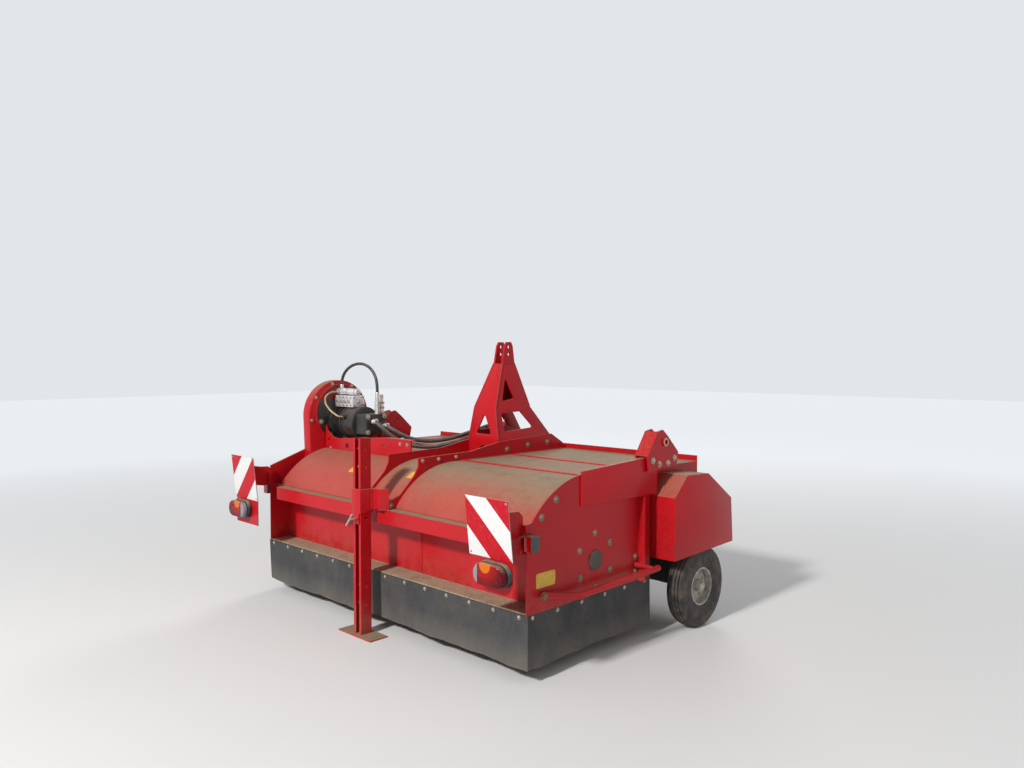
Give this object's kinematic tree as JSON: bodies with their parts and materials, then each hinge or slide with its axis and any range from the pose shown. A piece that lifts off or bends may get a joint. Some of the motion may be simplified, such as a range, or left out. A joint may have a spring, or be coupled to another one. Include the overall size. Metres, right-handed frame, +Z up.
{
  "type": "haulm topper",
  "caption": "Front-mounted haulm topper: flail rotor under a long curved hood, with three-point tower, belt drive, hydraulic motor, warning boards, gauge wheels and parking stand.",
  "frame": {"origin": "on the floor, at the middle of the bounding box in X and Y", "axes": "+X along the rotor to the outer end, +Y from the skirt to the carrier's side, +Z up"},
  "size_m": [2.68, 1.877, 1.65],
  "materials": {
    "red_paint": "worn gloss with field dust",
    "dark_skirt": "matt, dusty",
    "galvanised": "dull",
    "bare_steel": "worn",
    "motor_black": "painted, satin",
    "silver_block": "satin",
    "fitting_chrome": "plated",
    "pipe_tan": "dull plated",
    "hose_rubber": "satin",
    "board_face": "red and white stripes",
    "lamp_black": "matt",
    "lens_red": "clear gloss",
    "tyre_rubber": "dusty",
    "rim_paint": "worn"
  },
  "bodies": {
    "frame": {"belt_guard": "red_paint", "board_brackets": "red_paint", "coupling_holder": "red_paint", "cross_beams": "red_paint", "cross_plate": "red_paint", "drive_motor": "motor_black", "end_plate_drive": "red_paint", "end_plate_outer": "red_paint", "front_panel": "red_paint", "guard_rod": "red_paint", "hitch_brackets": "red_paint", "hood_centre": "red_paint", "hood_drive_side": "red_paint", "hood_outer_side": "red_paint", "hose_couplings": "fitting_chrome", "hose_loop": "hose_rubber", "hose_return": "hose_rubber", "hose_supply": "hose_rubber", "lamp_bodies": "lamp_black", "lamp_lenses": "lens_red", "motor_fittings": "fitting_chrome", "rotor_bearings": "bare_steel", "side_boxes": "red_paint", "side_markers": "lens_red", "skirt_front": "dark_skirt", "skirt_rear": "dark_skirt", "skirt_sides": "dark_skirt", "stand_pin": "galvanised", "stand_sleeve": "red_paint", "top_link_ears": "red_paint", "tower": "red_paint", "tower_sides": "red_paint", "valve_block": "silver_block", "valve_pipe": "pipe_tan", "warning_boards": "board_face", "web_plates": "red_paint", "wheel_guards": "red_paint", "wheel_legs": "red_paint"},
    "rotor": {"rotor_drum": "red_paint", "flails": "bare_steel"},
    "wheel_outer": {"tyre_outer": "tyre_rubber", "rim_outer": "rim_paint"},
    "wheel_drive": {"tyre_drive": "tyre_rubber", "rim_drive": "rim_paint"},
    "stand": {"stand_leg": "red_paint"}
  },
  "joints": [
    {"name": "rotor_spin", "type": "hinge", "parent": "frame", "child": "rotor", "pos_m": [0, -0.1745, 0.507], "axis": [1, 0, 0], "continuous": true},
    {"name": "wheel_outer_spin", "type": "hinge", "parent": "frame", "child": "wheel_outer", "pos_m": [1.27, 0.6375, 0.235], "axis": [1, 0, 0], "continuous": true},
    {"name": "wheel_drive_spin", "type": "hinge", "parent": "frame", "child": "wheel_drive", "pos_m": [-1.27, 0.6375, 0.235], "axis": [1, 0, 0], "continuous": true},
    {"name": "stand_slide", "type": "slide", "parent": "frame", "child": "stand", "axis": [0, 0, 1], "range_m": [0, 0.48]}
  ]
}
